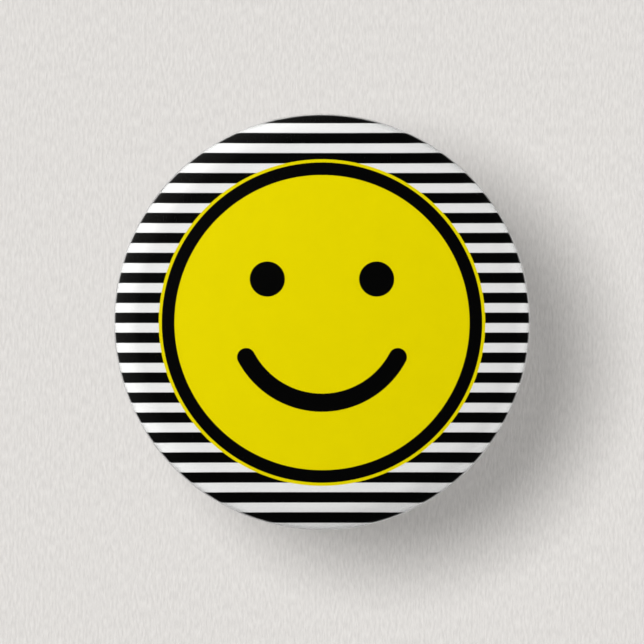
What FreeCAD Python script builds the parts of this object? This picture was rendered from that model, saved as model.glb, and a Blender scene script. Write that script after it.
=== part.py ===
import FreeCAD, Part
import os
from math import acos, atan, cos, degrees, pi, radians, sin, sqrt, tan

from FreeCAD import Vector

# A round pin-back button badge, 32 mm across, in millimetres, as it is worn: the face
# looks along -Y, the back along +Y, and the top of the picture is +Z. The disc's axis is
# the Y axis. The origin is on the axis of the pin's arm, at the middle of the back.
# A domed tinplate shell carries a printed paper disc and a clear film, both wrapped round
# its curled lip. A tinplate back plate is locked inside the lip, and its two lanced straps
# hold a spring-wire pin.

# --- sheets ---------------------------------------------------------------------------
FILM_T = 0.08
PAPER_T = 0.12
TIN_T = 0.25

# --- front: the outer surface of the film -----------------------------------------------
OUT_R = 16.0
CROWN_Y = -6.0
DOME_R = 101.0
SHOULDER_R = 2.3

# --- curled lip at the rear edge ----------------------------------------------------------
CURL_R = 1.0
REAR_Y = -0.6
LIP_END = radians(195.0)  # round the curl, from straight outward towards the rear
TUCK_TURN = radians(60.0)  # how far film and paper run back inside the curl

# --- pin wire ---------------------------------------------------------------------------
WIRE_R = 0.35
COIL_R = 1.1  # to the middle of the wire
COIL_PITCH = 0.78
COIL_TURNS = 1.5
COIL_X = -9.6
SWING_TILT = radians(35.0)  # the coil's plane, turned outward from the back plate
LEAD_LENGTH = 2.0  # the easy bend between the coil and each straight leg
SHANK_END_X = 9.4
TAPER_X = 11.2
TAPER_R = 0.29
TIP_X = 12.6
TIP_R = 0.03

# --- catch hook ---------------------------------------------------------------------------
HOOK_X = 11.0
HOOK_BEND_R = 0.8
HOOK_OVER = 0.8  # from the arm's axis to the axis of the wire that covers it
HOOK_PAST = 0.7  # how far the cover reaches past the arm

# --- bow in the base run, which stops it rolling in its straps ------------------------------
BOW_START_X = -7.3
BOW_END_X = 8.7
BOW_DEPTH = 1.5

# --- back plate ---------------------------------------------------------------------------
REST_GAP = 0.01  # base run to the floor that it lies on
FLOOR_R = 12.1
RIDGE_IN_R = 12.7
RIDGE_OUT_R = 13.6
RIDGE_Y = -1.0
FLANGE_START_R = 13.68
FLANGE_Y = -2.15
SKIRT_GAP = 0.05
SKIRT_END_Y = -3.1
FLOOR_BEND = 0.5
RIDGE_IN_BEND = 0.4
RIDGE_OUT_BEND = 0.35
FLANGE_BEND = 0.3

# --- straps ---------------------------------------------------------------------------
STRAP_W = 1.5
STRAP_GAP = 0.06
STRAP_FOOT = 1.75
STRAP_KNEE = 0.95
STRAP_TOP = 0.5
STRAP_KNEE_BEND = 0.25
STRAP_TOP_BEND = 0.42
SLOT_HALF_LENGTH = 1.12
SLOT_W = 1.6

# --- worked out: the curl and the skins ---------------------------------------------------
STACK = FILM_T + PAPER_T + TIN_T
TIN_HALF = TIN_T / 2
PAPER_LEVEL = TIN_HALF + PAPER_T  # levels count outward from the middle of the tin
FILM_LEVEL = PAPER_LEVEL + FILM_T
CURL_MID_R = CURL_R - FILM_LEVEL
CURL_C = Vector(OUT_R - CURL_R, REAR_Y - CURL_R, 0)
DOME_C = Vector(0, CROWN_Y + DOME_R, 0)
SHOULDER_X = OUT_R - SHOULDER_R
SHOULDER_C = Vector(SHOULDER_X, DOME_C.y - sqrt((DOME_R - SHOULDER_R) ** 2 - SHOULDER_X**2), 0)
DOME_TURN = acos((DOME_C.y - SHOULDER_C.y) / (DOME_R - SHOULDER_R))

# --- worked out: the pin ---------------------------------------------------------------
# The wire is laid out in the coil's plane: x as above, u from the base run towards the
# arm, which is up and outward, and v square to both, outward and down.
COIL_SLOPE = atan(COIL_PITCH / (2 * pi * COIL_R))
LEAD_R = LEAD_LENGTH / COIL_SLOPE
LEAD_RISE = LEAD_R * (1 - cos(COIL_SLOPE))
LEAD_X = COIL_X + LEAD_R * sin(COIL_SLOPE)
BASE_U = -2 * COIL_R
COIL_TOP_V = -LEAD_RISE
COIL_LOW_V = COIL_TOP_V - COIL_TURNS * COIL_PITCH
BASE_V = COIL_LOW_V - LEAD_RISE


def wire_point(x, u, v):
    return Vector(
        x,
        u * sin(SWING_TILT) + v * cos(SWING_TILT),
        u * cos(SWING_TILT) - v * sin(SWING_TILT),
    )


BASE_Y = wire_point(0, BASE_U, BASE_V).y
BASE_Z = wire_point(0, BASE_U, BASE_V).z
FLOOR_Y = BASE_Y - WIRE_R - REST_GAP

BOW_HALF = (BOW_END_X - BOW_START_X) / 2
BOW_MID_X = (BOW_START_X + BOW_END_X) / 2
BOW_TURN = 2 * atan(BOW_DEPTH / BOW_HALF)
BOW_R = BOW_HALF / (2 * sin(BOW_TURN))


def on_circle(centre, radius, angle):
    """A point of the section plane: angle 0 is outward from the axis, 90 degrees rearward."""
    return centre + Vector(radius * cos(angle), radius * sin(angle), 0)


def arc(centre, radius, start, end):
    middle = on_circle(centre, radius, (start + end) / 2)
    return Part.Arc(on_circle(centre, radius, start), middle, on_circle(centre, radius, end)).toShape()


def line(a, b):
    return Part.LineSegment(a, b).toShape()


def revolved(edges):
    """A ring or disc from half its section, round the Y axis."""
    face = Part.Face(Part.Wire(Part.__sortEdges__(edges)))
    return face.revolve(Vector(0, 0, 0), Vector(0, 1, 0), 360)


def front_chain(level):
    """The section of one surface of the skins, from the crown round the shoulder to the lip's end."""
    depth = FILM_LEVEL - level
    dome_end = -pi / 2 + DOME_TURN
    skirt_x = OUT_R - depth
    return [
        arc(DOME_C, DOME_R - depth, -pi / 2, dome_end),
        arc(SHOULDER_C, SHOULDER_R - depth, dome_end, 0),
        line(Vector(skirt_x, SHOULDER_C.y, 0), Vector(skirt_x, CURL_C.y, 0)),
        arc(CURL_C, CURL_MID_R + level, 0, LIP_END),
    ]


def crown_line(level_a, level_b):
    return line(
        Vector(0, CROWN_Y + FILM_LEVEL - level_a, 0),
        Vector(0, CROWN_Y + FILM_LEVEL - level_b, 0),
    )


def lip_round(level):
    """The turn round the lip's end, on the middle of the tin."""
    return arc(on_circle(CURL_C, CURL_MID_R, LIP_END), level, LIP_END, LIP_END + pi)


def front_shell():
    edges = front_chain(TIN_HALF) + front_chain(-TIN_HALF)
    edges += [lip_round(TIN_HALF), crown_line(TIN_HALF, -TIN_HALF)]
    return revolved(edges)


def wrapped_skin(outer, inner):
    """Paper or film: over the front, round the lip's end and tucked back inside the curl."""
    tuck_end = LIP_END - TUCK_TURN
    edges = front_chain(outer) + front_chain(inner)
    for level in (outer, inner):
        edges += [lip_round(level), arc(CURL_C, CURL_MID_R - level, LIP_END, tuck_end)]
    edges.append(
        line(
            on_circle(CURL_C, CURL_MID_R - outer, tuck_end),
            on_circle(CURL_C, CURL_MID_R - inner, tuck_end),
        )
    )
    edges.append(crown_line(outer, inner))
    return revolved(edges)


def sheet_outline(points, bends):
    """The outline of bent sheet: TIN_T thick, along points, with a bend at each inner point."""

    def side(offset):
        legs = [(b - a).normalize() for a, b in zip(points, points[1:])]
        normals = [Vector(-d.y, d.x, 0) for d in legs]
        corners = [points[0] + normals[0] * offset]
        for p, n, m in zip(points[1:-1], normals, normals[1:]):
            corners.append(p + (n + m) * (offset / (1 + n.dot(m))))
        corners.append(points[-1] + normals[-1] * offset)
        edges = []
        start = corners[0]
        for corner, before, after, bend in zip(corners[1:-1], legs, legs[1:], bends):
            turn = acos(before.dot(after))
            left = before.cross(after).z > 0
            radius = bend - offset if left else bend + offset
            reach = radius * tan(turn / 2)
            a, b = corner - before * reach, corner + after * reach
            inward = (after - before).normalize()
            middle = corner + inward * (radius / cos(turn / 2) - radius)
            edges += [line(start, a), Part.Arc(a, middle, b).toShape()]
            start = b
        edges.append(line(start, corners[-1]))
        return edges, corners[0], corners[-1]

    upper, upper_start, upper_end = side(TIN_HALF)
    lower, lower_start, lower_end = side(-TIN_HALF)
    return upper + lower + [line(upper_start, lower_start), line(upper_end, lower_end)]


def strap(along):
    """A lanced bridge over the base run, with the slot that it came out of.

    along is where it stands, as a share of the bow: -1 is the coil's side and 1 the hook's.
    """
    floor_mid = FLOOR_Y - TIN_HALF
    top_mid = BASE_Y + WIRE_R + STRAP_GAP + TIN_HALF
    right = [
        Vector(STRAP_TOP, top_mid, 0),
        Vector(STRAP_KNEE, floor_mid, 0),
        Vector(STRAP_FOOT, floor_mid, 0),
    ]
    left = [Vector(-p.x, p.y, 0) for p in reversed(right)]
    bends = [STRAP_KNEE_BEND, STRAP_TOP_BEND, STRAP_TOP_BEND, STRAP_KNEE_BEND]
    edges = sheet_outline(left + right, bends)
    strip = Part.Face(Part.Wire(Part.__sortEdges__(edges))).extrude(Vector(0, 0, STRAP_W))
    strip.translate(Vector(0, 0, -STRAP_W / 2))
    slot = Part.makeBox(
        2 * SLOT_HALF_LENGTH,
        3 * TIN_T,
        SLOT_W,
        Vector(-SLOT_HALF_LENGTH, floor_mid - 1.5 * TIN_T, -SLOT_W / 2),
    )
    # The strip was drawn across X and wide along Z: turned a quarter, it spans the wire.
    across = 90 - along * degrees(BOW_TURN)
    place = Vector(BOW_MID_X + along * BOW_HALF / 2, 0, BASE_Z - BOW_DEPTH / 2)
    for shape in (strip, slot):
        shape.rotate(Vector(0, 0, 0), Vector(0, 1, 0), across)
        shape.translate(place)
    return strip, slot


def back_plate():
    points = [
        Vector(0, FLOOR_Y - TIN_HALF, 0),
        Vector(FLOOR_R, FLOOR_Y - TIN_HALF, 0),
        Vector(RIDGE_IN_R, RIDGE_Y - TIN_HALF, 0),
        Vector(RIDGE_OUT_R, RIDGE_Y - TIN_HALF, 0),
        Vector(FLANGE_START_R, FLANGE_Y - TIN_HALF, 0),
        Vector(OUT_R - STACK - SKIRT_GAP - TIN_HALF, FLANGE_Y - TIN_HALF, 0),
        Vector(OUT_R - STACK - SKIRT_GAP - TIN_HALF, SKIRT_END_Y, 0),
    ]
    bends = [FLOOR_BEND, RIDGE_IN_BEND, RIDGE_OUT_BEND, FLANGE_BEND, FLANGE_BEND]
    plate = revolved(sheet_outline(points, bends))
    for along in (-1, 1):
        strip, slot = strap(along)
        plate = plate.cut(slot).fuse(strip)
    return plate.removeSplitter()


def swept(edges, start, direction):
    """Round wire along a path of tangent edges."""
    section = Part.Wire(Part.Circle(start, direction, WIRE_R).toShape())
    return Part.Wire(edges).makePipeShell([section], True, False)


def plane_arc(x, u, v, radius, first, second, turn):
    """An arc about (x, u, v), starting at radius along first and turning towards second."""
    centre = wire_point(x, u, v)

    def at(angle):
        return centre + (first * cos(angle) + second * sin(angle)) * radius

    return Part.Arc(at(0), at(turn / 2), at(turn)).toShape(), at(0), at(turn)


X_WAY = Vector(1, 0, 0)
U_WAY = wire_point(0, 1, 0)
V_WAY = wire_point(0, 0, 1)


def pin_arm():
    """The easy bend out of the coil, the straight shank and the point, ground in two tapers."""
    lead, start, end = plane_arc(
        LEAD_X, 0, -LEAD_R, LEAD_R, V_WAY * cos(COIL_SLOPE) - X_WAY * sin(COIL_SLOPE),
        X_WAY * cos(COIL_SLOPE) + V_WAY * sin(COIL_SLOPE), COIL_SLOPE,
    )
    start_way = X_WAY * cos(COIL_SLOPE) + V_WAY * sin(COIL_SLOPE)
    bend = swept([lead], start, start_way)
    shank = Part.makeCylinder(WIRE_R, SHANK_END_X - end.x, end, X_WAY)
    first = Part.makeCone(
        WIRE_R, TAPER_R, TAPER_X - SHANK_END_X, Vector(SHANK_END_X, 0, 0), X_WAY
    )
    second = Part.makeCone(TAPER_R, TIP_R, TIP_X - TAPER_X, Vector(TAPER_X, 0, 0), X_WAY)
    return bend.fuse([shank, first, second]).removeSplitter()


def pin_coil():
    """One and a half turns, from the base run round to the arm."""
    helix = Part.makeLongHelix(COIL_PITCH, COIL_TURNS * COIL_PITCH, COIL_R, 0, False)
    # The helix starts on its own +X and turns about +Z: here it starts on -u, turns
    # towards -x and climbs along v.
    turn = FreeCAD.Matrix()
    turn.setCol(0, -U_WAY)
    turn.setCol(1, -X_WAY)
    turn.setCol(2, V_WAY)
    turn.setCol(3, wire_point(COIL_X, -COIL_R, COIL_LOW_V))
    placed = helix.transformGeometry(turn)
    start = wire_point(COIL_X, BASE_U, COIL_LOW_V)
    way = -X_WAY * cos(COIL_SLOPE) + V_WAY * sin(COIL_SLOPE)
    section = Part.Wire(Part.Circle(start, way, WIRE_R).toShape())
    return Part.Wire(placed.Edges).makePipeShell([section], True, True)


def bow_edges():
    """The base run's bow, in the plane of the back plate: out, back up, and level again."""
    low_turn = pi / 2 - BOW_TURN
    high_turn = pi / 2 + BOW_TURN
    low_z = BASE_Z - BOW_DEPTH

    def bow_arc(x, z, start, end):
        def at(angle):
            return Vector(x + BOW_R * cos(angle), BASE_Y, z + BOW_R * sin(angle))

        return Part.Arc(at(start), at((start + end) / 2), at(end)).toShape()

    return [
        bow_arc(BOW_START_X, BASE_Z - BOW_R, pi / 2, low_turn),
        bow_arc(BOW_MID_X, low_z + BOW_R, -high_turn, -low_turn),
        bow_arc(BOW_END_X, BASE_Z - BOW_R, high_turn, pi / 2),
    ]


def pin_base():
    """The fixed run of the wire: out of the coil, bowed through the straps, up into the catch."""
    lead, start, lead_end = plane_arc(
        LEAD_X, BASE_U, BASE_V + LEAD_R, LEAD_R,
        -V_WAY * cos(COIL_SLOPE) - X_WAY * sin(COIL_SLOPE),
        X_WAY * cos(COIL_SLOPE) - V_WAY * sin(COIL_SLOPE), COIL_SLOPE,
    )
    rise, rise_start, rise_end = plane_arc(
        HOOK_X - HOOK_BEND_R, BASE_U, BASE_V + HOOK_BEND_R, HOOK_BEND_R, -V_WAY, X_WAY, pi / 2
    )
    cover, cover_start, cover_end = plane_arc(
        HOOK_X, BASE_U + HOOK_BEND_R, HOOK_OVER - HOOK_BEND_R, HOOK_BEND_R, -U_WAY, V_WAY, pi / 2
    )
    end = wire_point(HOOK_X, HOOK_PAST, HOOK_OVER)
    bow = bow_edges()
    edges = [
        lead,
        line(lead_end, Vector(BOW_START_X, BASE_Y, BASE_Z)),
        *bow,
        line(Vector(BOW_END_X, BASE_Y, BASE_Z), rise_start),
        rise,
        line(rise_end, cover_start),
        cover,
        line(cover_end, end),
    ]
    start_way = X_WAY * cos(COIL_SLOPE) - V_WAY * sin(COIL_SLOPE)
    wire = swept(edges, start, start_way)
    return wire.fuse(Part.makeSphere(WIRE_R, end)).removeSplitter()


def main():
    os.makedirs("parts", exist_ok=True)
    shapes = {
        "clear_film": wrapped_skin(FILM_LEVEL, PAPER_LEVEL),
        "printed_paper": wrapped_skin(PAPER_LEVEL, TIN_HALF),
        "front_shell": front_shell(),
        "back_plate": back_plate(),
        "pin_base": pin_base(),
        "pin_coil": pin_coil(),
        "pin_arm": pin_arm(),
    }
    for name, shape in shapes.items():
        shape.exportStep("parts/" + name + ".step")
        box = shape.BoundBox
        print(
            name, shape.ShapeType, len(shape.Solids), shape.isValid(), round(shape.Volume, 3),
            [round(c, 3) for c in (box.XMin, box.XMax, box.YMin, box.YMax, box.ZMin, box.ZMax)],
        )


main()
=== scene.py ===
from math import acos, atan, cos, pi, radians, sin, sqrt, tau
from random import Random

import bmesh
import bpy
import numpy as np
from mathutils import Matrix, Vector


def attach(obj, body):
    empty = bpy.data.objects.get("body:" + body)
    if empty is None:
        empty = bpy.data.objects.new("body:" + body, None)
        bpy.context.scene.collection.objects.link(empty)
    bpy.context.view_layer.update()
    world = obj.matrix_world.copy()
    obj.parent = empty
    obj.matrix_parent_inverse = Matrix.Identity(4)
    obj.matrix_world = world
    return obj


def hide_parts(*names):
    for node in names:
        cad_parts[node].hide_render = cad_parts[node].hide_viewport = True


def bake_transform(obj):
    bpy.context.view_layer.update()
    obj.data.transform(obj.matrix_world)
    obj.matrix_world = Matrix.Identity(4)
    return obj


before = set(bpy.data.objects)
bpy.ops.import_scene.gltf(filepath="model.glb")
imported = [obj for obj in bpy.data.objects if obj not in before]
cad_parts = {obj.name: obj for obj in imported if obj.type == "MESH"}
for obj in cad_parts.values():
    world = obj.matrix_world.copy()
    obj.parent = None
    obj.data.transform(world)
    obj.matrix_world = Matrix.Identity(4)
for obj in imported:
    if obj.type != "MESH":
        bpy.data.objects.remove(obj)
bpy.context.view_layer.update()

# A 32 mm pin-back button badge in its studio. The face looks along -Y, the back along +Y
# and the top of the picture is +Z. Lengths are in metres, except inside the materials,
# where places are in millimetres.

MM = 0.001

# --- the front, as in the CAD: levels count outward from the middle of the tin ------------
FILM_T = 0.08 * MM
PAPER_T = 0.12 * MM
TIN_T = 0.25 * MM
OUT_R = 16.0 * MM
CROWN_Y = -6.0 * MM
DOME_R = 101.0 * MM
SHOULDER_R = 2.3 * MM
CURL_R = 1.0 * MM
REAR_Y = -0.6 * MM
LIP_END = radians(195)  # how far round the curl the tin goes
TUCK_TURN = radians(60)  # how far back round it, on its inside, the skins go

TIN_LEVEL = TIN_T / 2
PAPER_LEVEL = TIN_LEVEL + PAPER_T
FILM_LEVEL = PAPER_LEVEL + FILM_T
AIR_GAP = 0.012 * MM  # between the paper and the film that is pulled over it
TURN_START_Y = -4.2 * MM  # where the print starts to follow the rim round
TURN_LENGTH = 4.0 * MM  # and how much further on it follows it in full
CURL_MID_R = CURL_R - FILM_LEVEL
CURL_C = Vector((OUT_R - CURL_R, REAR_Y - CURL_R))
DOME_C = Vector((0, CROWN_Y + DOME_R))
SHOULDER_X = OUT_R - SHOULDER_R
SHOULDER_C = Vector((SHOULDER_X, DOME_C.y - sqrt((DOME_R - SHOULDER_R) ** 2 - SHOULDER_X**2)))
DOME_TURN = acos((DOME_C.y - SHOULDER_C.y) / (DOME_R - SHOULDER_R))

DOME_STEPS = 12
SHOULDER_STEPS = 22
SKIRT_STEPS = 7
CURL_STEPS = 36
CUT_STEPS = 12
TUCK_STEPS = 5
FRONT_SIDES = 240
REAR_SIDES = 720

# --- pleats where film and paper are gathered over the rear lip -----------------------------
PLEAT_SEED = 23
PLEAT_HEIGHT = 0.10 * MM
PLEAT_SHARE = (0.35, 1.0)  # of that height
PLEAT_HALF_W = (0.3 * MM, 0.6 * MM)
PLEAT_SPACING = (0.7 * MM, 1.9 * MM)
PLEAT_LEAN = 0.45  # how much wider one flank is, and how much narrower the other
PLEAT_START = (35, 95)  # in degrees round the curl
PLEAT_RISE = 0.9  # and how far round it takes to rise, in radians
PLEAT_FADE = (radians(160), radians(225))

# --- the pin's wire, as in the CAD ----------------------------------------------------------
WIRE_R = 0.35 * MM
COIL_R = 1.1 * MM
COIL_PITCH = 0.78 * MM
COIL_TURNS = 1.5
COIL_X = -9.6 * MM
SWING_TILT = radians(35)
LEAD_LENGTH = 2.0 * MM
SHANK_END_X = 9.4 * MM
TAPER_X = 11.2 * MM
TAPER_R = 0.29 * MM
TIP_X = 12.6 * MM
TIP_R = 0.03 * MM
HOOK_X = 11.0 * MM
HOOK_BEND_R = 0.8 * MM
HOOK_OVER = 0.8 * MM
HOOK_PAST = 0.7 * MM
BOW_START_X = -7.3 * MM
BOW_END_X = 8.7 * MM
BOW_DEPTH = 1.5 * MM

COIL_SLOPE = atan(COIL_PITCH / (tau * COIL_R))
LEAD_R = LEAD_LENGTH / COIL_SLOPE
LEAD_X = COIL_X + LEAD_R * sin(COIL_SLOPE)
COIL_TOP_V = -LEAD_R * (1 - cos(COIL_SLOPE))
COIL_LOW_V = COIL_TOP_V - COIL_TURNS * COIL_PITCH
BASE_U = -2 * COIL_R
BASE_V = COIL_LOW_V + COIL_TOP_V
BOW_HALF = (BOW_END_X - BOW_START_X) / 2
BOW_TURN = 2 * atan(BOW_DEPTH / BOW_HALF)
BOW_R = BOW_HALF / (2 * sin(BOW_TURN))

WIRE_SIDES = 28
WIRE_STEP = 0.12 * MM
BEND_STEP = radians(6)
COIL_STEP = radians(4)
LEAST_BEND_STEPS = 4
WIRE_END_STEPS = 8

# --- the picture, in millimetres of the flat print ------------------------------------------
STRIPE_PITCH = 1.533
STRIPE_HALF_W = 0.402
STRIPE_LIFT = 0.322  # from the middle of the badge up to the nearest black stripe
DISC_Z = -0.045  # the yellow disc lies a little low
DISC_R = 11.34
RING_R = 12.31  # of the black ring's outer edge
RIM_R = 12.55  # of the thin yellow line round it
EYE = (4.2, 3.3)
EYE_R = 1.35
SMILE_Z = 0.4
SMILE_R = 6.6
SMILE_HALF_TURN = radians(62)
SMILE_HALF_W = 0.7
INK_EDGE = 0.02  # how far an edge of ink fades, either way
INK_BLEED = 0.012  # how far it strays

PAPER_WHITE = (0.885, 0.885, 0.88, 1)
INK_YELLOW = (0.865, 0.741, 0.0, 1)
INK_BLACK = (0.0015, 0.0015, 0.0015, 1)

# --- the other materials: the darkest and the brightest of each -------------------------------
FILM_TINT = (0.985, 0.985, 0.98, 1)
SHELL_TIN = (0.50, 0.50, 0.49, 1), (0.66, 0.66, 0.65, 1)
BACK_TIN = (0.56, 0.56, 0.55, 1), (0.76, 0.76, 0.75, 1)
SHELL_DULL = 0.32  # roughness
BACK_DULL = 0.22
PRESSED_R = (11.6, 12.3)  # where rolling lines give way to the draw rings of pressed bends
NICKEL = (0.58, 0.565, 0.54, 1), (0.80, 0.785, 0.76, 1)
GRINDING = (-0.10, 0.25)  # where grinding takes over, from the end of the round wire
WALL_PAPER = (0.565, 0.548, 0.530, 1), (0.657, 0.638, 0.616, 1)


# =========================================================================================
# Materials
# =========================================================================================


class Nodes:
    """The nodes of one material, or of the world, added in reading order."""

    def __init__(self, owner, shader="Principled BSDF", **sockets):
        self.owner = owner
        owner.use_nodes = True
        self.tree = owner.node_tree
        self.shader = self.tree.nodes[shader]
        self.set(**sockets)

    def set(self, **sockets):
        """Sets or links inputs of the shader, named with _ for each space."""
        for name, value in sockets.items():
            self.put(self.shader.inputs[name.replace("_", " ")], value)

    def put(self, socket, value):
        """A value that another node gives is linked, any other is set."""
        if isinstance(value, bpy.types.NodeSocket):
            self.tree.links.new(value, socket)
        else:
            socket.default_value = value

    def add(self, kind, inputs, **settings):
        """A new node. Its inputs are named by name or by number."""
        node = self.tree.nodes.new("ShaderNode" + kind)
        for name, value in settings.items():
            setattr(node, name, value)
        for name, value in inputs.items():
            self.put(node.inputs[name], value)
        return node

    def math(self, operation, *values):
        return self.add("Math", dict(enumerate(values)), operation=operation).outputs[0]

    def sum(self, *values):
        return self.math("ADD", *values)

    def product(self, *values):
        return self.math("MULTIPLY", *values)

    def vector(self, operation, *values):
        node = self.add("VectorMath", dict(enumerate(values)), operation=operation)
        gives_number = operation in ("LENGTH", "DISTANCE", "DOT_PRODUCT")
        return node.outputs["Value" if gives_number else "Vector"]

    def stretched(self, place, x, y, z):
        return self.vector("MULTIPLY", place, (x, y, z))

    def object_place(self):
        """Where a point is, in millimetres."""
        place = self.add("TexCoord", {}).outputs["Object"]
        return self.stretched(place, 1 / MM, 1 / MM, 1 / MM)

    def stored_place(self, name):
        """A place that the mesh carries for each of its points."""
        return self.add("Attribute", {}, attribute_name=name).outputs["Vector"]

    def parts(self, place):
        return self.add("SeparateXYZ", {0: place}).outputs

    def joined(self, x, y, z=0.0):
        return self.add("CombineXYZ", {0: x, 1: y, 2: z}).outputs[0]

    def noise(self, place, scale, detail=3.0, roughness=0.5):
        inputs = {"Vector": place, "Scale": scale, "Detail": detail, "Roughness": roughness}
        return self.add("TexNoise", inputs).outputs[0]

    def ramp(self, value, low, high, start=0.0, end=1.0):
        """value from low to high becomes start to end, smoothly, and is held beyond them."""
        inputs = {"Value": value, "From Min": low, "From Max": high, "To Min": start, "To Max": end}
        return self.add("MapRange", inputs, interpolation_type="SMOOTHSTEP").outputs[0]

    def between(self, factor, first, second):
        """The first number where factor is 0, and the second where it is 1."""
        return self.add("Mix", {"Factor": factor, "A": first, "B": second}).outputs[0]

    def mix(self, factor, first, second, blend="MIX"):
        """The same with colours, which have sockets of their own on the node."""
        node = self.add("Mix", {"Factor": factor}, data_type="RGBA", blend_type=blend)
        below, above = [socket for socket in node.inputs if socket.type == "RGBA"]
        self.put(below, first)
        self.put(above, second)
        return next(socket for socket in node.outputs if socket.type == "RGBA")

    def bump(self, height, distance, strength=1.0):
        inputs = {"Height": height, "Distance": distance, "Strength": strength}
        return self.add("Bump", inputs).outputs[0]


def new_material(name, **sockets):
    return Nodes(bpy.data.materials.new(name), **sockets)


def ink_inside(n, distance, limit):
    """1 where distance is under limit, with a soft edge."""
    return n.ramp(distance, limit - INK_EDGE, limit + INK_EDGE, 1.0, 0.0)


def smile_distance(n, x, z):
    """How far a place of the print is from the middle line of the smile, an arc."""
    wide = n.math("ABSOLUTE", x)
    down = n.math("SUBTRACT", SMILE_Z, z)
    turn = n.math("MINIMUM", n.math("ARCTAN2", wide, down), SMILE_HALF_TURN)
    near_x = n.product(n.math("SINE", turn), SMILE_R)
    near_down = n.product(n.math("COSINE", turn), SMILE_R)
    return n.vector("DISTANCE", n.joined(wide, down), n.joined(near_x, near_down))


def printed_picture(n):
    """Stripes, a ringed yellow disc and a plain smiling pictogram. Each layer is a distance
    from a middle line or a centre, how far out the ink reaches, and the ink. It covers the
    layers before it. Returns the colour, and the place on the flat print."""
    place = n.stored_place("print_place")
    x, z, _ = n.parts(place)
    half_pitch = STRIPE_PITCH / 2
    in_pitch = n.math("FLOORED_MODULO", n.sum(z, half_pitch - STRIPE_LIFT), STRIPE_PITCH)
    stripe = n.math("ABSOLUTE", n.math("SUBTRACT", in_pitch, half_pitch))
    disc = n.vector("DISTANCE", place, (0.0, DISC_Z, 0.0))
    eye = n.vector("DISTANCE", n.joined(n.math("ABSOLUTE", x), z), (*EYE, 0.0))
    smile = smile_distance(n, x, z)
    layers = [
        (stripe, STRIPE_HALF_W, INK_BLACK),
        (disc, RIM_R, INK_YELLOW),
        (disc, RING_R, INK_BLACK),
        (disc, DISC_R, INK_YELLOW),
        (eye, EYE_R, INK_BLACK),
        (smile, SMILE_HALF_W, INK_BLACK),
    ]
    uneven = n.math("SUBTRACT", n.noise(place, scale=9.0, detail=4.0), 0.5)
    bleed = n.product(uneven, 2 * INK_BLEED)
    colour = PAPER_WHITE
    for distance, limit, ink in layers:
        colour = n.mix(ink_inside(n, n.sum(distance, bleed), limit), colour, ink)
    return colour, place


def printed_paper_material():
    """Smooth white printing paper with a fine tooth, and ink that lies unevenly in it."""
    n = new_material("printed_paper", IOR=1.45, Specular_IOR_Level=0.1)
    colour, place = printed_picture(n)
    tooth = n.noise(place, scale=7.0, detail=5.0, roughness=0.6)
    clouds = n.noise(place, scale=0.5, detail=2.0)
    tooth_shade = n.ramp(tooth, 0.25, 0.75, start=0.975, end=1.0)
    cloud_shade = n.ramp(clouds, 0.3, 0.7, start=0.985, end=1.0)
    shade = n.product(tooth_shade, cloud_shade)
    n.set(Base_Color=n.mix(1.0, colour, n.joined(shade, shade, shade), blend="MULTIPLY"))
    n.set(Roughness=n.ramp(tooth, 0.3, 0.7, start=0.42, end=0.58))
    n.set(Normal=n.bump(tooth, distance=0.004 * MM))
    return n.owner


def clear_film_material():
    """Clear gloss polyester, drawn tight, with a slight orange peel and fine handling marks."""
    n = new_material("clear_film", Base_Color=FILM_TINT, Transmission_Weight=1.0, IOR=1.5)
    place = n.object_place()
    peel = n.noise(place, scale=0.55, detail=2.0)
    hairlines = n.noise(n.stretched(place, 14.0, 14.0, 0.8), scale=1.0)
    handled = n.noise(place, scale=0.35)
    scuffs = n.ramp(n.product(hairlines, handled), 0.30, 0.42)
    n.set(Roughness=n.ramp(scuffs, 0.0, 1.0, start=0.035, end=0.09))
    n.set(Normal=n.bump(peel, distance=0.02 * MM, strength=0.6))
    return n.owner


def tinplate_material(name, dark, bright, dull):
    """Bright tinplate: rolling lines along X, faint clouds, and draw rings in the pressed bends."""
    n = new_material(name, Metallic=1.0)
    place = n.object_place()
    x, _, z = n.parts(place)
    radius = n.vector("LENGTH", n.joined(x, z))
    rolling_way = n.stretched(place, 0.35, 9.0, 9.0)
    rolling = n.noise(rolling_way, scale=1.0, detail=6.0, roughness=0.65)
    ring_way = n.joined(n.product(radius, 11.0), 0.0)
    rings = n.noise(ring_way, scale=1.0, detail=4.0, roughness=0.7)
    lines = n.between(n.ramp(radius, *PRESSED_R), rolling, rings)
    fine = n.noise(n.stretched(place, 1.2, 40.0, 40.0), scale=1.0, roughness=0.6)
    clouds = n.noise(place, scale=0.22)
    tarnish = n.sum(lines, n.product(clouds, 0.6))
    n.set(Base_Color=n.mix(n.ramp(tarnish, 0.55, 1.05), dark, bright))
    n.set(Roughness=n.ramp(lines, 0.3, 0.7, start=dull - 0.07, end=dull + 0.07))
    n.set(Normal=n.bump(n.sum(lines, n.product(fine, 0.35)), distance=0.0015 * MM))
    return n.owner


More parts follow.
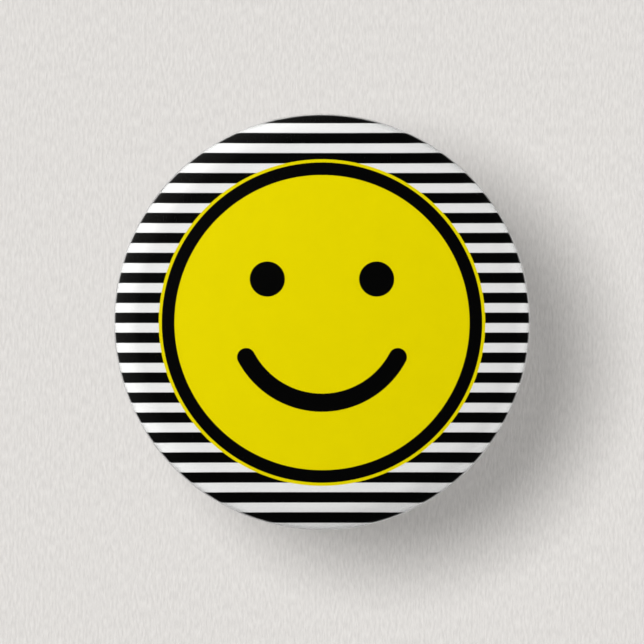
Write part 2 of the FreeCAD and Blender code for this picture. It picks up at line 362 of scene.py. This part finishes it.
def nickel_wire_material():
    """Nickel-plated spring wire: drawing lines along it, and grinding marks round the point."""
    n = new_material("nickel_wire", Metallic=1.0)
    place = n.stored_place("straight_place")
    along, _, _ = n.parts(place)
    drawn = n.noise(n.stretched(place, 0.5, 16.0, 16.0), scale=1.0, detail=4.0, roughness=0.6)
    ground = n.noise(n.stretched(place, 30.0, 2.0, 2.0), scale=1.0, roughness=0.6)
    round_wire = (LEAD_LENGTH + SHANK_END_X - LEAD_X) / MM
    at_point = n.ramp(along, round_wire + GRINDING[0], round_wire + GRINDING[1])
    marks = n.between(at_point, drawn, ground)
    clouds = n.noise(n.stretched(place, 0.7, 1.5, 1.5), scale=1.0, detail=2.0)
    tarnish = n.sum(marks, n.product(clouds, 0.5))
    n.set(Base_Color=n.mix(n.ramp(tarnish, 0.45, 1.0), *NICKEL))
    n.set(Roughness=n.ramp(marks, 0.3, 0.7, start=0.10, end=0.22))
    n.set(Normal=n.bump(marks, distance=0.0015 * MM))
    return n.owner


def backdrop_material():
    """Warm white artist's paper, whose faint tooth runs up and down."""
    n = new_material("backdrop_paper", Roughness=0.85, Specular_IOR_Level=0.1)
    upright = n.stretched(n.object_place(), 5.5, 5.5, 1.4)
    fibres = n.noise(upright, scale=1.0, roughness=0.55)
    n.set(Base_Color=n.mix(n.ramp(fibres, 0.25, 0.75), *WALL_PAPER))
    n.set(Normal=n.bump(fibres, distance=0.045 * MM))
    return n.owner


# =========================================================================================
# Meshes
# =========================================================================================

SHARP_TURN = radians(40)


def mesh_piece(name, mesh, material):
    """A shown object from a bmesh, smooth except where it turns a corner."""
    bmesh.ops.recalc_face_normals(mesh, faces=mesh.faces)
    for face in mesh.faces:
        face.smooth = True
    for edge in mesh.edges:
        edge.smooth = edge.calc_face_angle(0.0) < SHARP_TURN
    data = bpy.data.meshes.new(name)
    mesh.to_mesh(data)
    mesh.free()
    data.materials.append(material)
    piece = bpy.data.objects.new(name, data)
    bpy.context.scene.collection.objects.link(piece)
    return piece


def bridge(mesh, first, second):
    """Faces between two rings. One may be a single point, or have several points for each
    of the other's."""
    few, many = sorted((first, second), key=len)
    if len(few) == 1:
        for a, b in zip(many, many[1:] + many[:1]):
            mesh.faces.new((few[0], a, b))
        return
    share = len(many) // len(few)
    for i in range(len(few)):
        far_side = [many[(share * (i + 1) - j) % len(many)] for j in range(share + 1)]
        mesh.faces.new([few[i], few[(i + 1) % len(few)], *far_side])


# --- film and paper --------------------------------------------------------------------------


def smooth_step(low, high, value):
    """0 up to low, 1 from high on, and a smooth change between them."""
    t = np.clip((value - low) / (high - low), 0, 1)
    return t * t * (3 - 2 * t)


def polar(angle):
    """A direction of the section plane: angle 0 is outward from the axis, 90 degrees rearward."""
    return Vector((cos(angle), sin(angle)))


def arc_stations(centre, radius, start, end, steps, side=1, wrap=False):
    """Points along the middle of the tin, each with its outward normal and its turn round
    the curl."""
    angles = np.linspace(start, end, steps + 1)
    return [(centre + polar(a) * radius, polar(a) * side, a if wrap else 0.0) for a in angles]


def skin_stations():
    """The section that film and paper follow: dome, shoulder, skirt, curl, round the tin's cut
    edge, and back round the inside of the curl as far as the end of the tuck."""
    dome_end = -pi / 2 + DOME_TURN
    cut_c = CURL_C + polar(LIP_END) * CURL_MID_R
    tuck_end = LIP_END - TUCK_TURN
    stations = arc_stations(DOME_C, DOME_R - FILM_LEVEL, -pi / 2, dome_end, DOME_STEPS)
    stations += arc_stations(SHOULDER_C, SHOULDER_R - FILM_LEVEL, dome_end, 0, SHOULDER_STEPS)[1:]
    for y in np.linspace(SHOULDER_C.y, CURL_C.y, SKIRT_STEPS + 1)[1:-1]:
        stations.append((Vector((OUT_R - FILM_LEVEL, y)), polar(0), 0.0))
    stations += arc_stations(CURL_C, CURL_MID_R, 0, LIP_END, CURL_STEPS, wrap=True)
    stations += arc_stations(cut_c, 0, LIP_END, LIP_END + pi, CUT_STEPS, wrap=True)[1:]
    tuck = arc_stations(CURL_C, CURL_MID_R, LIP_END, tuck_end, TUCK_STEPS, side=-1)[1:]
    return stations + [(point, normal, LIP_END + pi) for point, normal, _ in tuck]


def flat_radii(stations):
    """How far out each station lies on the flat print: as seen from the front as far as the
    rim, and from there on, more and more, by the length of paper that goes round it."""
    places = [point + normal * PAPER_LEVEL for point, normal, _ in stations]
    radii = [places[0].x]
    gone = 0.0
    for before, here in zip(places, places[1:]):
        length = (here - before).length
        if gone or here.y > TURN_START_Y:
            gone += length
        wrapped = smooth_step(0, TURN_LENGTH, gone)
        radii.append(radii[-1] + (1 - wrapped) * max(here.x - before.x, 0) + wrapped * length)
    return radii


def pleat_heights(stations):
    """How far the pleats lift the skins, by place round the rim and station."""
    rng = Random(PLEAT_SEED)
    round_rim = np.arange(REAR_SIDES) * tau / REAR_SIDES
    wrap = np.array([w for _, _, w in stations])
    fade = 1 - smooth_step(*PLEAT_FADE, wrap)
    heights = np.zeros((REAR_SIDES, len(stations)))
    place = 0.0
    while place < tau:
        half = rng.uniform(*PLEAT_HALF_W) / CURL_C.x
        lift = rng.uniform(*PLEAT_SHARE) * PLEAT_HEIGHT
        start = radians(rng.uniform(*PLEAT_START))
        lean = rng.choice((-PLEAT_LEAN, PLEAT_LEAN))
        away = (round_rim - place + pi) % tau - pi
        away = away / (half * (1 + lean * np.sign(away)))
        across = np.where(np.abs(away) < 1, (1 + np.cos(pi * away)) / 2, 0)
        along = smooth_step(start, start + PLEAT_RISE, wrap) * fade
        heights = np.maximum(heights, lift * np.outer(across, along))
        place += rng.uniform(*PLEAT_SPACING) / CURL_C.x
    return heights


def skin(name, outer, inner, inner_pleated, material):
    """A wrapped skin between two levels, closed at the end of the tuck. It has more sides at
    the rear, where it is pleated."""
    stations = skin_stations()
    flat = flat_radii(stations)
    heights = pleat_heights(stations)
    mesh = bmesh.new()
    print_place = mesh.verts.layers.float_vector.new("print_place")

    def ring(index, level, pleated):
        point, normal, wrap = stations[index]
        sides = REAR_SIDES if wrap > 0 and pleated else FRONT_SIDES
        if index == 0:  # the crown, on the axis
            sides = 1
        points = []
        for i in range(sides):
            turn = tau * i / sides
            lift = heights[i, index] if sides == REAR_SIDES else 0.0
            place = point + normal * (level + lift)
            vertex = mesh.verts.new((place.x * cos(turn), place.y, place.x * sin(turn)))
            vertex[print_place] = Vector((cos(turn), sin(turn), 0)) * (flat[index] / MM)
            points.append(vertex)
        return points

    rings = [ring(i, outer, True) for i in range(len(stations))]
    rings += [ring(i, inner, inner_pleated) for i in reversed(range(len(stations)))]
    for first, second in zip(rings, rings[1:]):
        bridge(mesh, first, second)
    return mesh_piece(name, mesh, material)


# --- the pin ---------------------------------------------------------------------------------
# The wire is laid out in the coil's plane: x as above, u from the base run towards the arm,
# which is up and outward, and v square to both, outward and down.


def wire_point(x, u, v):
    y = u * sin(SWING_TILT) + v * cos(SWING_TILT)
    z = u * cos(SWING_TILT) - v * sin(SWING_TILT)
    return Vector((x, y, z))


ORIGIN = Vector((0, 0, 0))
X_WAY = Vector((1, 0, 0))
Z_WAY = Vector((0, 0, 1))
U_WAY = wire_point(0, 1, 0)
V_WAY = wire_point(0, 0, 1)


class Route:
    """The middle line of a wire: straight runs and round bends, each tangent to the last."""

    def __init__(self, start, way):
        self.points = [start]
        self.ways = [way.normalized()]

    def run(self, length):
        """Straight on."""
        start, way = self.points[-1], self.ways[-1]
        steps = max(1, round(length / WIRE_STEP))
        for i in range(1, steps + 1):
            self.points.append(start + way * (length * i / steps))
            self.ways.append(way)

    def bend(self, radius, turn, towards):
        """Round towards a direction."""
        start, way = self.points[-1], self.ways[-1]
        side = (towards - way * towards.dot(way)).normalized()
        steps = max(LEAST_BEND_STEPS, round(radius * turn / WIRE_STEP), round(turn / BEND_STEP))
        for i in range(1, steps + 1):
            a = turn * i / steps
            self.points.append(start + (side * (1 - cos(a)) + way * sin(a)) * radius)
            self.ways.append(way * cos(a) + side * sin(a))


def tube_rings(mesh, centres, radii):
    """Rings of a straight tube along X, centres being places on it. Returns the rings."""
    straight = mesh.verts.layers.float_vector.new("straight_place")
    rings = []
    for centre, radius in zip(centres, radii):
        ring = []
        for i in range(WIRE_SIDES):
            turn = tau * i / WIRE_SIDES
            vertex = mesh.verts.new((centre, radius * cos(turn), radius * sin(turn)))
            vertex[straight] = vertex.co / MM
            ring.append(vertex)
        rings.append(ring)
    for first, second in zip(rings, rings[1:]):
        bridge(mesh, first, second)
    for ring in (rings[0], rings[-1]):
        mesh.faces.new(ring)
    return rings


def lengths_along(points):
    """How far along its route each point lies."""
    total = [0.0]
    for a, b in zip(points, points[1:]):
        total.append(total[-1] + (b - a).length)
    return total


def wire_piece(name, route, radii, side, material):
    """Wire along a route. Its first ring starts at side, so that the next piece's ring meets it."""
    mesh = bmesh.new()
    rings = tube_rings(mesh, lengths_along(route.points), radii)
    for ring, point, way in zip(rings, route.points, route.ways):
        side = (side - way * side.dot(way)).normalized()
        other = way.cross(side)
        for vertex in ring:
            _, a, b = vertex.co
            vertex.co = point + side * a + other * b
    return mesh_piece(name, mesh, material)


def pin_arm(material):
    """The easy bend out of the coil, the shank, and the point ground in two tapers."""
    coil_way = X_WAY * cos(COIL_SLOPE) + V_WAY * sin(COIL_SLOPE)
    route = Route(wire_point(COIL_X, 0, COIL_TOP_V), coil_way)
    route.bend(LEAD_R, COIL_SLOPE, -V_WAY)
    route.run(SHANK_END_X - LEAD_X)
    route.run(TAPER_X - SHANK_END_X)
    route.run(TIP_X - TAPER_X)
    xs = [p.x for p in route.points]
    radii = np.interp(xs, [SHANK_END_X, TAPER_X, TIP_X], [WIRE_R, TAPER_R, TIP_R])
    return wire_piece("pin_arm_wire", route, radii, U_WAY, material)


def pin_base(material):
    """Out of the coil, bowed through the straps, up beside the point and over it as a catch."""
    coil_way = X_WAY * cos(COIL_SLOPE) - V_WAY * sin(COIL_SLOPE)
    route = Route(wire_point(COIL_X, BASE_U, COIL_LOW_V), coil_way)
    route.bend(LEAD_R, COIL_SLOPE, V_WAY)
    route.run(BOW_START_X - LEAD_X)
    route.bend(BOW_R, BOW_TURN, -Z_WAY)
    route.bend(BOW_R, 2 * BOW_TURN, Z_WAY)
    route.bend(BOW_R, BOW_TURN, -Z_WAY)
    route.run(HOOK_X - HOOK_BEND_R - BOW_END_X)
    route.bend(HOOK_BEND_R, pi / 2, V_WAY)
    route.run(HOOK_OVER - 2 * HOOK_BEND_R - BASE_V)
    route.bend(HOOK_BEND_R, pi / 2, U_WAY)
    route.run(HOOK_PAST - HOOK_BEND_R - BASE_U)
    radii = [WIRE_R] * len(route.points)
    end, way = route.points[-1], route.ways[-1]
    for i in range(1, WIRE_END_STEPS):  # the rounded end
        a = pi / 2 * i / WIRE_END_STEPS
        route.points.append(end + way * (WIRE_R * sin(a)))
        route.ways.append(way)
        radii.append(WIRE_R * cos(a))
    return wire_piece("pin_base_wire", route, radii, -U_WAY, material)


def pin_coil(material):
    """The sprung coil. It is made as a straight wire, and is then wound."""
    turns = COIL_TURNS * tau
    rise = COIL_PITCH / tau
    length = turns * sqrt(COIL_R**2 + rise**2)
    steps = round(turns / COIL_STEP)
    mesh = bmesh.new()
    tube_rings(mesh, [length * i / steps for i in range(steps + 1)], [WIRE_R] * (steps + 1))
    coil = mesh_piece("pin_coil_wire", mesh, material)
    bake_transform(coil)
    for vertex in coil.data.vertices:
        along, a, b = vertex.co
        turn = turns * along / length
        outward = -U_WAY * cos(turn) - X_WAY * sin(turn)
        way = (U_WAY * sin(turn) - X_WAY * cos(turn)) * cos(COIL_SLOPE) + V_WAY * sin(COIL_SLOPE)
        middle = wire_point(COIL_X, -COIL_R, COIL_LOW_V + rise * turn) + outward * COIL_R
        vertex.co = middle + outward * a + way.cross(outward) * b
    return coil


# =========================================================================================
# Studio
# =========================================================================================

WALL_Y = 78 * MM
WALL_TOP = 0.6
FLOOR_Z = -80 * MM
FLOOR_FRONT = -3.0
SWEEP_R = 40 * MM
SWEEP_HALF_WIDTH = 3.0
SWEEP_STEPS = 16
VIEW_WIDTH = 49.5 * MM
CAMERA_DISTANCE = 0.3
SUN_DISTANCE = 0.5

# --- lamps round the rim, and further behind it: strength by turn from +X, in degrees ----------
RIM_SUNS = {355: 3.2, 80: 1.2, 148: 3.1, 232: 2.3}
RIM_OFF_AXIS = 108
RIM_WIDTH = 40
EDGE_SUNS = {0: 0.5, 270: 0.8}
EDGE_OFF_AXIS = 138
EDGE_WIDTH = 50

# --- what gloss and metal mirror: brightness, and where in the surroundings --------------------
ROOM_LIGHT = 0.004
WARM_WHITE = (1.0, 0.985, 0.965, 1)
FIELD_EDGE = (0.74, 0.95)  # how squarely behind the badge, as a cosine
FIELD_WAY = (-0.8, 0.0, 0.6)
FIELD_SPREAD = (-0.4, 0.4)
FIELD_LIGHT = (0.43, 0.78)
PANE_WAY = (-0.86, -0.1, 0.5)
PANE_EDGE = (0.1, 0.95)
PANE_LIGHT = 0.075
SEEN_LIGHT = 0.74  # what the view itself sees past the wall


def studio_sweep():
    """A floor that curves up into a wall, well behind the badge."""
    section = [(FLOOR_FRONT, FLOOR_Z)]
    for i in range(SWEEP_STEPS + 1):
        a = pi / 2 * i / SWEEP_STEPS
        section.append((WALL_Y - SWEEP_R * (1 - sin(a)), FLOOR_Z + SWEEP_R * (1 - cos(a))))
    section.append((WALL_Y, WALL_TOP))
    mesh = bmesh.new()
    lines = []
    for y, z in section:
        lines.append([mesh.verts.new((x, y, z)) for x in (-SWEEP_HALF_WIDTH, SWEEP_HALF_WIDTH)])
    for (a, b), (c, d) in zip(lines, lines[1:]):
        mesh.faces.new((a, b, d, c))
    sweep = mesh_piece("studio_sweep", mesh, backdrop_material())
    for use in ("diffuse", "glossy", "transmission", "shadow"):
        setattr(sweep, "visible_" + use, False)


def aimed(obj, place):
    """Puts a lamp or camera at place, looking at the badge."""
    obj.location = place
    obj.rotation_euler = (ORIGIN - place).to_track_quat("-Z", "Y").to_euler()
    bpy.context.scene.collection.objects.link(obj)
    return obj


def way_out(off_axis, turn):
    """A direction, by its degrees off the badge's own axis, counted from ahead of the face,
    and by its turn round that axis, in degrees from +X towards the top."""
    flat = sin(radians(off_axis))
    x = flat * cos(radians(turn))
    z = flat * sin(radians(turn))
    return Vector((x, -cos(radians(off_axis)), z))


def sun(name, way, strength, width, mirrored=False):
    """A distant lamp, so many degrees wide. Unless it is mirrored, gloss and metal do not
    show it."""
    lamp = bpy.data.lights.new(name, "SUN")
    lamp.energy = strength
    lamp.angle = radians(width)
    obj = aimed(bpy.data.objects.new(name, lamp), way * SUN_DISTANCE)
    obj.visible_glossy = mirrored
    obj.visible_transmission = False
    return obj


def studio_world():
    """What gloss and metal mirror: a nearly dark room, a faint pane of light to the left of the
    badge and above it, and a bright field straight behind it, brightest to the upper left. The
    view itself sees an even pale surround."""
    world = bpy.data.worlds.new("studio")
    bpy.context.scene.world = world
    n = Nodes(world, "Background", Color=WARM_WHITE)
    way = n.add("TexCoord", {}).outputs["Generated"]
    rearward = n.parts(way)[1]
    up_left = n.vector("DOT_PRODUCT", way, FIELD_WAY)
    field = n.product(n.ramp(rearward, *FIELD_EDGE), n.ramp(up_left, *FIELD_SPREAD, *FIELD_LIGHT))
    to_pane = n.vector("DOT_PRODUCT", way, Vector(PANE_WAY).normalized())
    pane = n.ramp(to_pane, *PANE_EDGE, start=0.0, end=PANE_LIGHT)
    mirrored = n.sum(n.sum(field, ROOM_LIGHT), pane)
    in_view = n.add("LightPath", {}).outputs["Is Camera Ray"]
    n.set(Strength=n.between(in_view, mirrored, SEEN_LIGHT))


def studio_lights():
    """A lamp ahead of the face casts the shadow on the wall, a wider one lights the rim's upper
    left, and dim ones fill in. Lamps from a little behind light the rim all round."""
    sun("front_sun", way_out(4.4, 150), strength=2.1, width=5.5)
    sun("key_sun", way_out(60, 145), strength=1.42, width=25)
    sun("front_fill", way_out(10, 90), strength=0.99, width=150)
    sun("back_fill", way_out(150, 70), strength=1.6, width=110)
    for turn, strength in RIM_SUNS.items():
        sun(f"rim_fill_{turn}", way_out(RIM_OFF_AXIS, turn), strength, RIM_WIDTH)
    for turn, strength in EDGE_SUNS.items():
        sun(f"edge_fill_{turn}", way_out(EDGE_OFF_AXIS, turn), strength, EDGE_WIDTH)


def soft_box(name, way, distance, size, power):
    """A square lamp near the badge."""
    lamp = bpy.data.lights.new(name, "AREA")
    lamp.energy = power
    lamp.size = size
    return aimed(bpy.data.objects.new(name, lamp), way.normalized() * distance)


def metal_lights(pieces):
    """Lamps behind the badge that only the metal mirrors, so that the print stays clean."""
    metal = bpy.data.collections.new("metal")
    for piece in pieces:
        metal.objects.link(piece)
    lamps = [
        soft_box("box_low", Vector((0.3, 0.9, -0.4)), distance=0.15, size=0.17, power=0.055),
        sun("box_high", Vector((-0.35, 0.75, 0.8)), strength=1.2, width=38, mirrored=True),
        sun("box_side", Vector((-0.9, 0.45, -0.1)), strength=0.5, width=30, mirrored=True),
        sun("box_fill", Vector((0.0, 1.0, 0.3)), strength=0.25, width=170, mirrored=True),
    ]
    for lamp in lamps:
        lamp.light_linking.receiver_collection = metal


def studio_camera():
    """Square on to the face, with no perspective."""
    lens = bpy.data.cameras.new("camera")
    lens.type = "ORTHO"
    lens.ortho_scale = VIEW_WIDTH
    camera = aimed(bpy.data.objects.new("camera", lens), Vector((0, -CAMERA_DISTANCE, 0)))
    bpy.context.scene.camera = camera


def repaint(node, material):
    """Gives a carried-over CAD node its material."""
    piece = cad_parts[node]
    for held in piece.material_slots:
        held.material = material


def main():
    bpy.context.scene.view_settings.view_transform = "Standard"

    paper = skin("printed_skin", PAPER_LEVEL, TIN_LEVEL, False, printed_paper_material())
    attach(paper, "badge")
    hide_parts("printed_paper")

    film = skin("film_skin", FILM_LEVEL, PAPER_LEVEL + AIR_GAP, True, clear_film_material())
    film.visible_shadow = False
    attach(film, "badge")
    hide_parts("clear_film")

    repaint("front_shell", tinplate_material("tinplate_shell", *SHELL_TIN, SHELL_DULL))
    repaint("back_plate", tinplate_material("tinplate_back", *BACK_TIN, BACK_DULL))

    nickel = nickel_wire_material()
    base = pin_base(nickel)
    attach(base, "badge")
    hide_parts("pin_base")

    coil = pin_coil(nickel)
    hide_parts("pin_coil")

    arm = pin_arm(nickel)
    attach(arm, "arm")
    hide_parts("pin_arm")

    studio_sweep()
    studio_world()
    studio_lights()
    metal_lights([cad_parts["front_shell"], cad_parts["back_plate"], base, coil, arm])
    studio_camera()


main()
